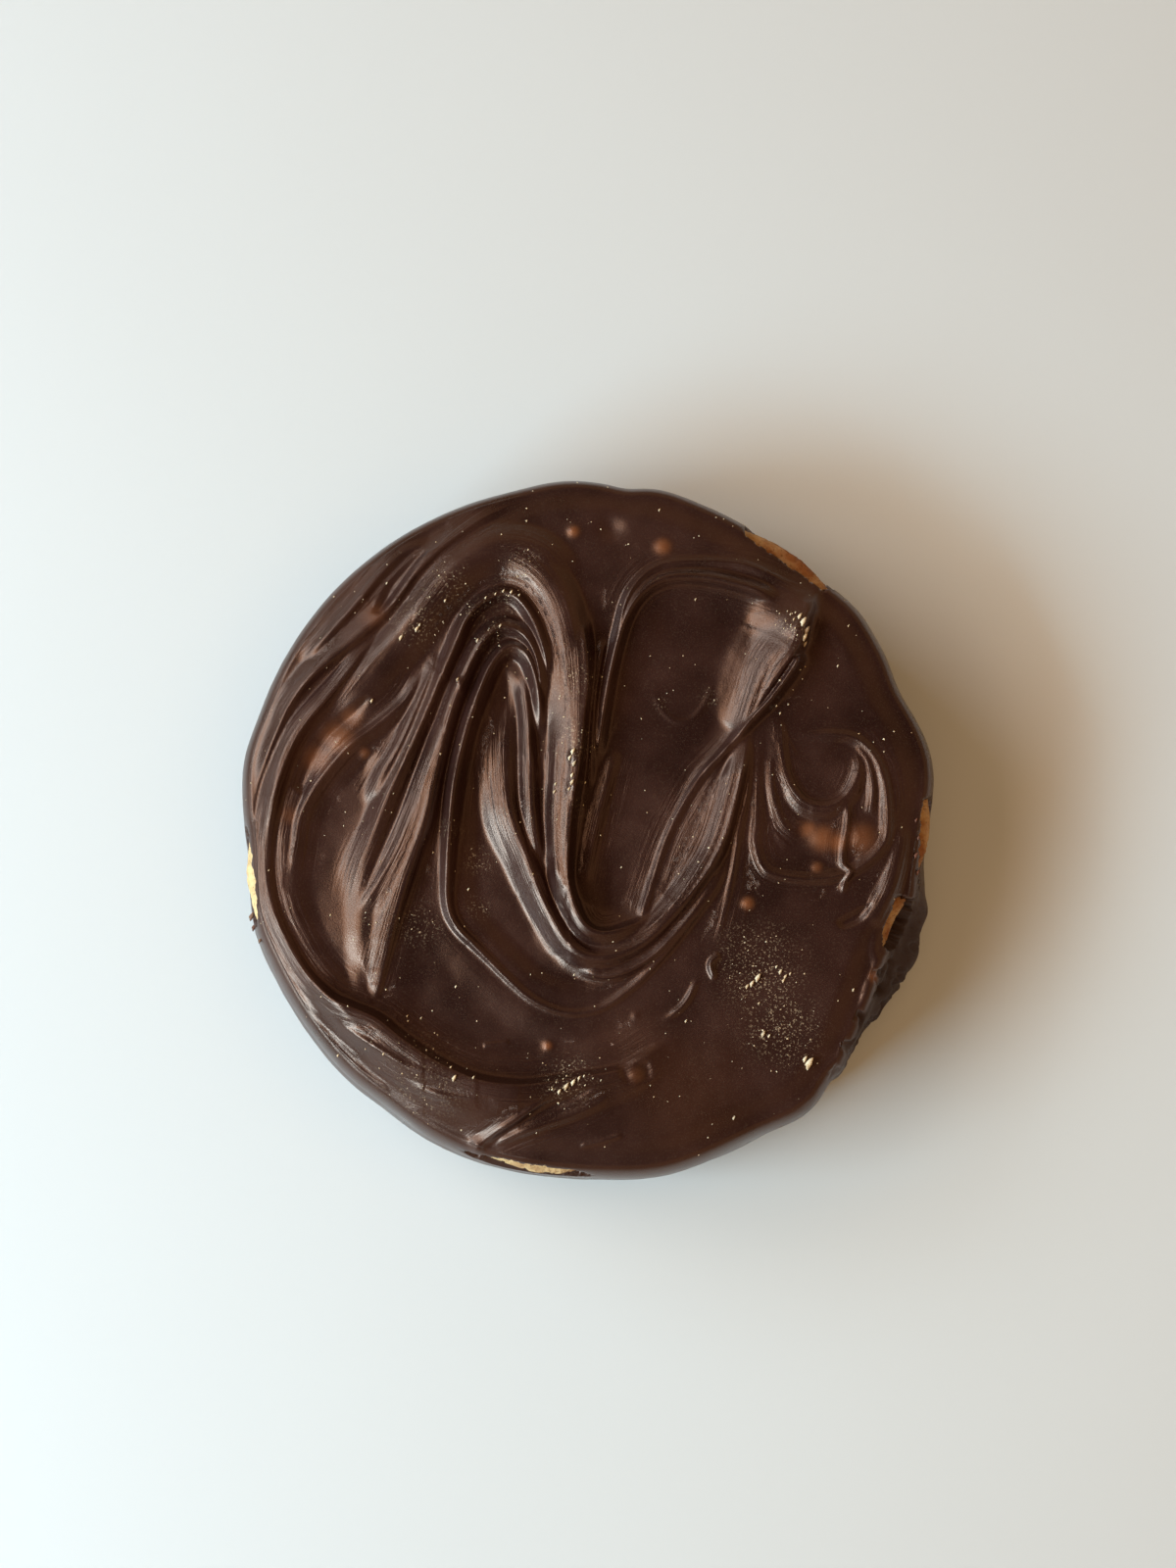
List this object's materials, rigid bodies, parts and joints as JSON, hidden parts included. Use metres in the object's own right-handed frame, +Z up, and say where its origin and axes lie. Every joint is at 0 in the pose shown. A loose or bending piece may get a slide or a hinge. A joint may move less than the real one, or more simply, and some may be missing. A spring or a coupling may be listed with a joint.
{
  "type": "chocolate sandwich cookie",
  "caption": "Round chocolate-coated sandwich cookie: two biscuits round a caramel filling, with a hand-swirled top and a flat underside to rest on.",
  "frame": {"origin": "centre of the flat underside, which is the bottom centre of the bounding box", "axes": "+Z is up through the layers to the swirled top; +X is right and +Y is away from the viewer, as the picture shows the top"},
  "size_m": [0.0728, 0.0732, 0.0203],
  "materials": {
    "chocolate": "satin dark milk chocolate, spread and set, with fine crumb dust on the crests",
    "biscuit": "matt baked biscuit, pale with browned edges",
    "caramel": "smooth soft caramel with a low gloss"
  },
  "bodies": {
    "root": {"chocolate_coat": "chocolate", "upper_biscuit": "biscuit", "caramel_filling": "caramel", "lower_biscuit": "biscuit"}
  },
  "joints": []
}
